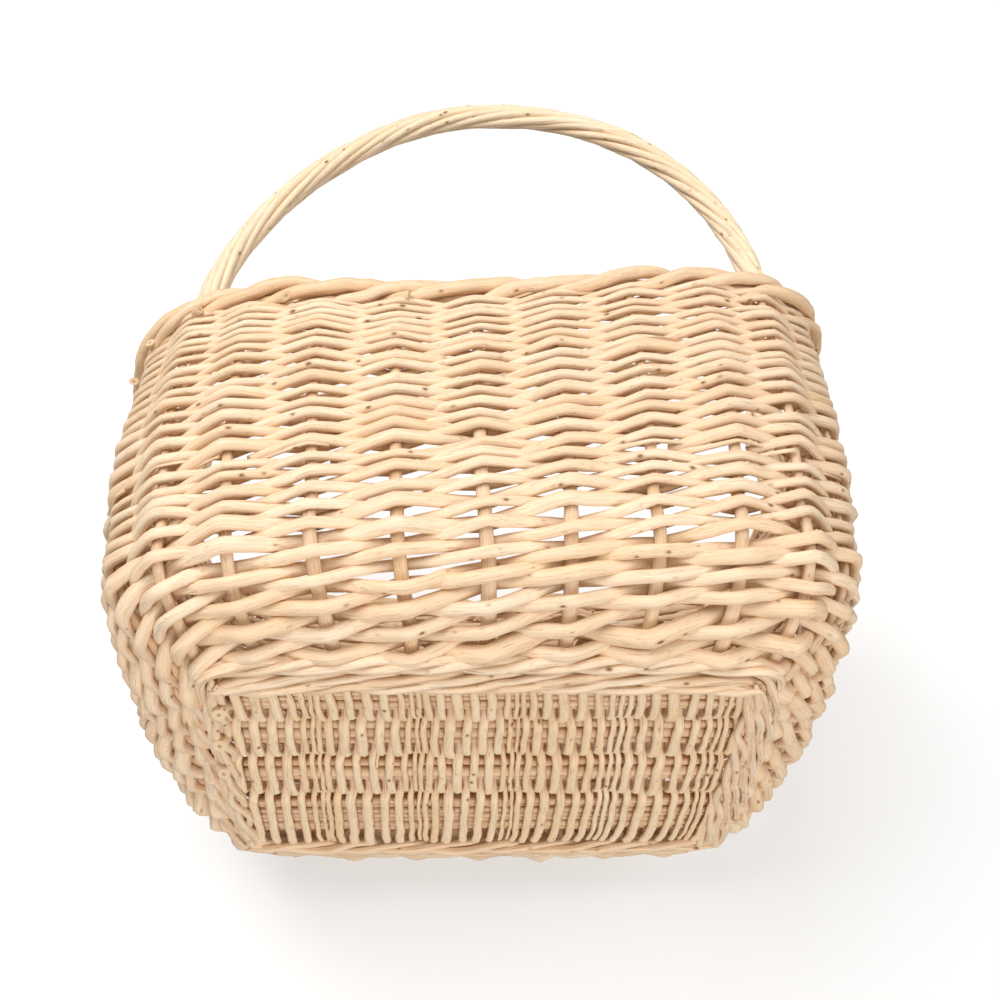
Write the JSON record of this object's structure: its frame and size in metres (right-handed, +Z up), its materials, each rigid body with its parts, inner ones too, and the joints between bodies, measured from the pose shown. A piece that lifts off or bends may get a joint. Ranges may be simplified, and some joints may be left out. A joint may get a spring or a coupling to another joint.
{
  "type": "egg collection basket",
  "caption": "Woven willow egg collection basket with a rectangular base, flared sides, a roped border and a fixed roped bow handle.",
  "frame": {"origin": "middle of the basket's bounding box, on the plane that the foot rests on", "axes": "+X along the length, in the plane of the handle; +Y from the front long side to the back one; +Z up, from the base to the handle"},
  "size_m": [0.3474, 0.3158, 0.4525],
  "materials": {
    "willow_weave": "peeled willow rods",
    "willow_stake": "peeled willow rods",
    "willow_base": "peeled willow rods",
    "willow_border": "peeled willow rods",
    "willow_handle": "peeled willow rods"
  },
  "bodies": {
    "root": {"base_stick_1": "willow_base", "base_stick_2": "willow_base", "base_stick_3": "willow_base", "base_stick_4": "willow_base", "base_weave": "willow_base", "border_rod_1": "willow_border", "border_rod_2": "willow_border", "border_rod_3": "willow_border", "foot_wale_lower": "willow_base", "foot_wale_upper": "willow_base", "handle_bow": "willow_handle", "handle_strand_1": "willow_handle", "handle_strand_2": "willow_handle", "handle_strand_3": "willow_handle", "handle_strand_4": "willow_handle", "side_course_01": "willow_weave", "side_course_02": "willow_weave", "side_course_03": "willow_weave", "side_course_04": "willow_weave", "side_course_05": "willow_weave", "side_course_06": "willow_weave", "side_course_07": "willow_weave", "side_course_08": "willow_weave", "side_course_09": "willow_weave", "side_course_10": "willow_weave", "stake_back_1": "willow_stake", "stake_back_2": "willow_stake", "stake_back_3": "willow_stake", "stake_back_4": "willow_stake", "stake_back_5": "willow_stake", "stake_back_6": "willow_stake", "stake_back_7": "willow_stake", "stake_back_8": "willow_stake", "stake_back_9": "willow_stake", "stake_front_1": "willow_stake", "stake_front_2": "willow_stake", "stake_front_3": "willow_stake", "stake_front_4": "willow_stake", "stake_front_5": "willow_stake", "stake_front_6": "willow_stake", "stake_front_7": "willow_stake", "stake_front_8": "willow_stake", "stake_front_9": "willow_stake", "stake_left_1": "willow_stake", "stake_left_2": "willow_stake", "stake_left_3": "willow_stake", "stake_left_4": "willow_stake", "stake_left_5": "willow_stake", "stake_left_6": "willow_stake", "stake_left_7": "willow_stake", "stake_left_8": "willow_stake", "stake_right_1": "willow_stake", "stake_right_2": "willow_stake", "stake_right_3": "willow_stake", "stake_right_4": "willow_stake", "stake_right_5": "willow_stake", "stake_right_6": "willow_stake", "stake_right_7": "willow_stake", "stake_right_8": "willow_stake"}
  },
  "joints": []
}
